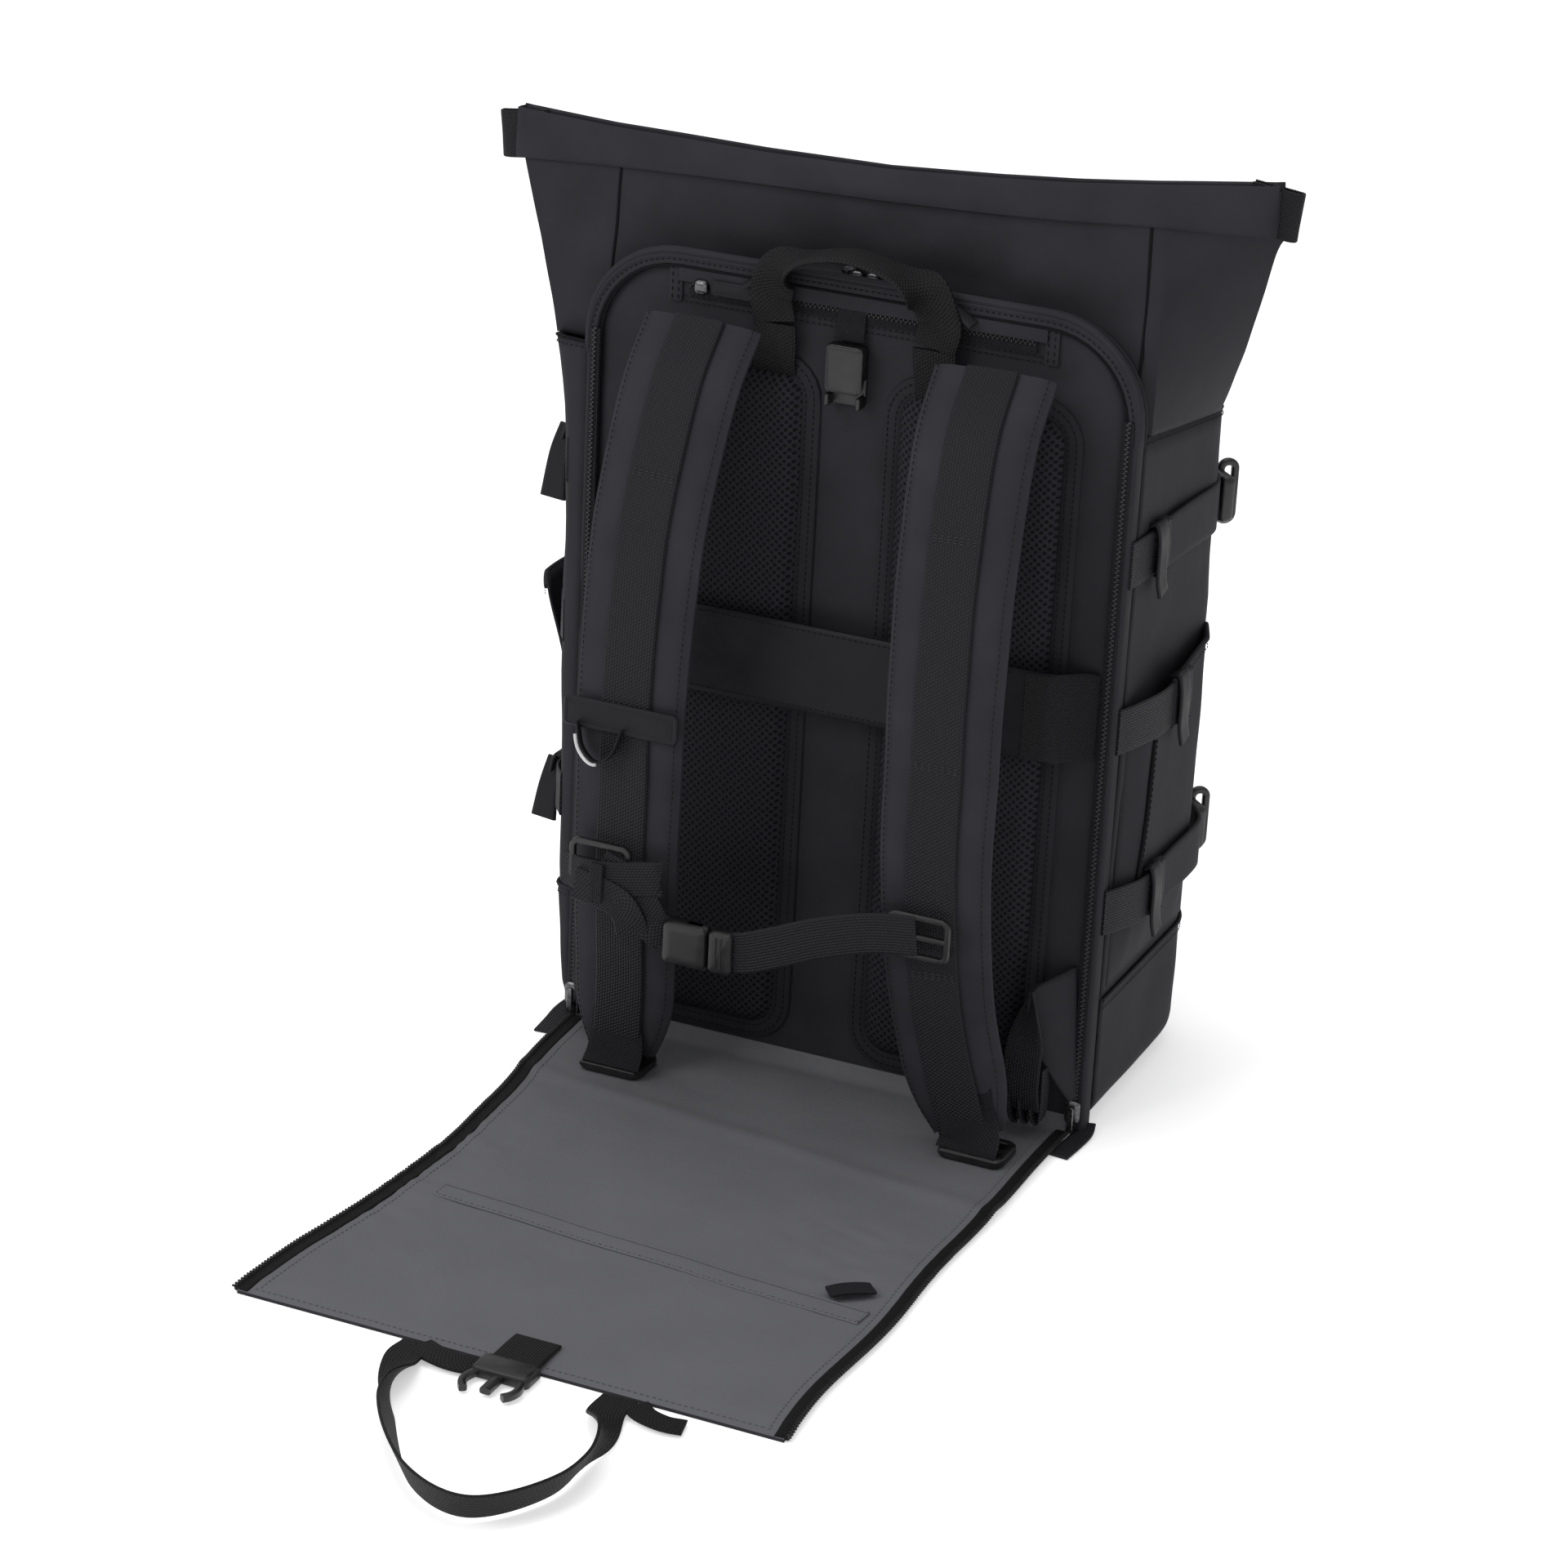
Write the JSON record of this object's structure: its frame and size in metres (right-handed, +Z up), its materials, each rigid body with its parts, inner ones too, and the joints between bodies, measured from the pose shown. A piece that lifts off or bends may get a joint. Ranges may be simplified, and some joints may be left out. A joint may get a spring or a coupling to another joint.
{
  "type": "travel backpack",
  "caption": "Roll-top travel backpack standing on its base, with padded shoulder straps, a trolley sleeve and a zip-off back cover lying open.",
  "frame": {"origin": "middle of the base, on the floor it stands on", "axes": "+Z up, -Y the side worn against the back, where the cover lies open, +X the wearer's right-hand side"},
  "size_m": [0.456, 0.7154, 0.5393],
  "materials": {
    "shell_fabric": "matt coated fabric",
    "strap_fabric": "matt coated fabric over foam",
    "pad_mesh": "perforated air mesh",
    "webbing": "ribbed nylon webbing",
    "leather": "smooth leather-like trim",
    "lining": "plain woven lining",
    "zip_tape": "coil zip",
    "buckle_plastic": "satin moulded acetal",
    "gunmetal": "dark polished zip hardware",
    "stiffener": "plain plastic sheet"
  },
  "bodies": {
    "shell": {"adjuster_webbing": "webbing", "back_pad_left": "pad_mesh", "back_pad_right": "pad_mesh", "back_panel": "shell_fabric", "back_rim": "shell_fabric", "base_panel": "shell_fabric", "base_stiffener": "stiffener", "base_tabs": "webbing", "boot_band": "shell_fabric", "compression_buckles": "buckle_plastic", "corner_wings": "shell_fabric", "cover_apron": "lining", "frame_sheet": "stiffener", "front_hook": "buckle_plastic", "front_panel": "shell_fabric", "front_pocket": "shell_fabric", "front_strap": "webbing", "hang_loop": "webbing", "laptop_divider": "lining", "neck_back": "shell_fabric", "neck_front": "shell_fabric", "neck_left": "shell_fabric", "neck_right": "shell_fabric", "side_panel_left": "shell_fabric", "side_panel_right": "shell_fabric", "side_pocket_left": "shell_fabric", "side_pocket_right": "shell_fabric", "side_straps": "webbing", "trolley_sleeve": "leather", "zip_tapes": "zip_tape"},
    "harness": {"shoulder_strap_left": "strap_fabric", "shoulder_strap_right": "strap_fabric", "strap_webbing_left": "webbing", "strap_webbing_right": "webbing", "ladder_locks": "buckle_plastic", "strap_patch": "leather", "sternum_webbing_left": "webbing", "sternum_webbing_right": "webbing", "sternum_sliders": "buckle_plastic", "sternum_socket": "buckle_plastic", "sternum_plug": "buckle_plastic"},
    "prong_upper": {"sternum_prong_upper": "buckle_plastic"},
    "prong_lower": {"sternum_prong_lower": "buckle_plastic"},
    "handle": {"grab_handle": "webbing"},
    "collar": {"roll_collar": "shell_fabric", "collar_tabs": "webbing"},
    "cover": {"cover_leaf": "lining", "cover_tab": "webbing", "cover_plug": "buckle_plastic"},
    "cover_loop": {"cover_handle": "webbing"},
    "lining_zip": {"lining_slider": "zip_tape"},
    "hanging_socket": {"hang_buckle": "buckle_plastic"},
    "access_zip": {"access_slider": "gunmetal"},
    "access_pull": {"access_puller": "leather"},
    "laptop_zip_left": {"laptop_slider_left": "gunmetal"},
    "laptop_zip_right": {"laptop_slider_right": "gunmetal"},
    "laptop_pull_left": {"laptop_puller_left": "leather"},
    "laptop_pull_right": {"laptop_puller_right": "leather"},
    "cover_zip_left": {"cover_slider_left": "gunmetal"},
    "cover_zip_right": {"cover_slider_right": "gunmetal"}
  },
  "joints": [
    {"name": "cover_fold", "type": "hinge", "parent": "shell", "child": "cover", "pos_m": [0, -0.18975, 0.002], "axis": [-1, 0, 0], "range_deg": [0, 90]},
    {"name": "cover_handle_lift", "type": "hinge", "parent": "cover", "child": "cover_loop", "pos_m": [0, -0.4755, 0.0013], "axis": [1, 0, 0], "range_deg": [-90, 0]},
    {"name": "lining_zip_slide", "type": "slide", "parent": "cover", "child": "lining_zip", "axis": [-1, 0, 0], "range_m": [0, 0.23]},
    {"name": "harness_swing", "type": "hinge", "parent": "shell", "child": "harness", "pos_m": [0, -0.1, 0.43], "axis": [1, 0, 0], "range_deg": [-25, 0]},
    {"name": "buckle_upper_press", "type": "slide", "parent": "harness", "child": "prong_upper", "axis": [0, 0, -1], "range_m": [0, 0.0022], "stiffness_N_per_m": 400},
    {"name": "buckle_lower_press", "type": "slide", "parent": "harness", "child": "prong_lower", "axis": [0, 0, 1], "range_m": [0, 0.0022], "stiffness_N_per_m": 400},
    {"name": "handle_tilt", "type": "hinge", "parent": "shell", "child": "handle", "pos_m": [0, -0.099, 0.434], "axis": [1, 0, 0], "range_deg": [0, 60], "stiffness_Nm_per_rad": 0.02},
    {"name": "collar_fold", "type": "hinge", "parent": "shell", "child": "collar", "pos_m": [0, -0.061, 0.498], "axis": [-0.9988, 0, -0.0486], "range_deg": [0, 100]},
    {"name": "socket_swing", "type": "hinge", "parent": "shell", "child": "hanging_socket", "pos_m": [-0.0045, -0.0965, 0.4276], "axis": [1, 0, 0], "range_deg": [-70, 0]},
    {"name": "access_zip_slide", "type": "slide", "parent": "shell", "child": "access_zip", "axis": [1, 0, 0], "range_m": [0, 0.17]},
    {"name": "access_puller_lift", "type": "hinge", "parent": "access_zip", "child": "access_pull", "pos_m": [-0.0864, -0.0948, 0.445], "axis": [0, 0, 1], "range_deg": [-90, 0]},
    {"name": "laptop_left_slide", "type": "slide", "parent": "shell", "child": "laptop_zip_left", "axis": [-1, 0, 0], "range_m": [0, 0.055]},
    {"name": "laptop_left_puller_lift", "type": "hinge", "parent": "laptop_zip_left", "child": "laptop_pull_left", "pos_m": [-0.0098, -0.087, 0.4632], "axis": [0, 1, 0], "range_deg": [0, 80]},
    {"name": "laptop_right_slide", "type": "slide", "parent": "shell", "child": "laptop_zip_right", "axis": [1, 0, 0], "range_m": [0, 0.055]},
    {"name": "laptop_right_puller_lift", "type": "hinge", "parent": "laptop_zip_right", "child": "laptop_pull_right", "pos_m": [0.0098, -0.087, 0.4632], "axis": [0, -1, 0], "range_deg": [0, 80]},
    {"name": "cover_zip_left_slide", "type": "slide", "parent": "shell", "child": "cover_zip_left", "axis": [0, 0, 1], "range_m": [0, 0.385]},
    {"name": "cover_zip_right_slide", "type": "slide", "parent": "shell", "child": "cover_zip_right", "axis": [0, 0, 1], "range_m": [0, 0.385]}
  ],
  "couplings": [
    {"joint": "buckle_lower_press", "follows": "buckle_upper_press", "ratio": 1}
  ]
}
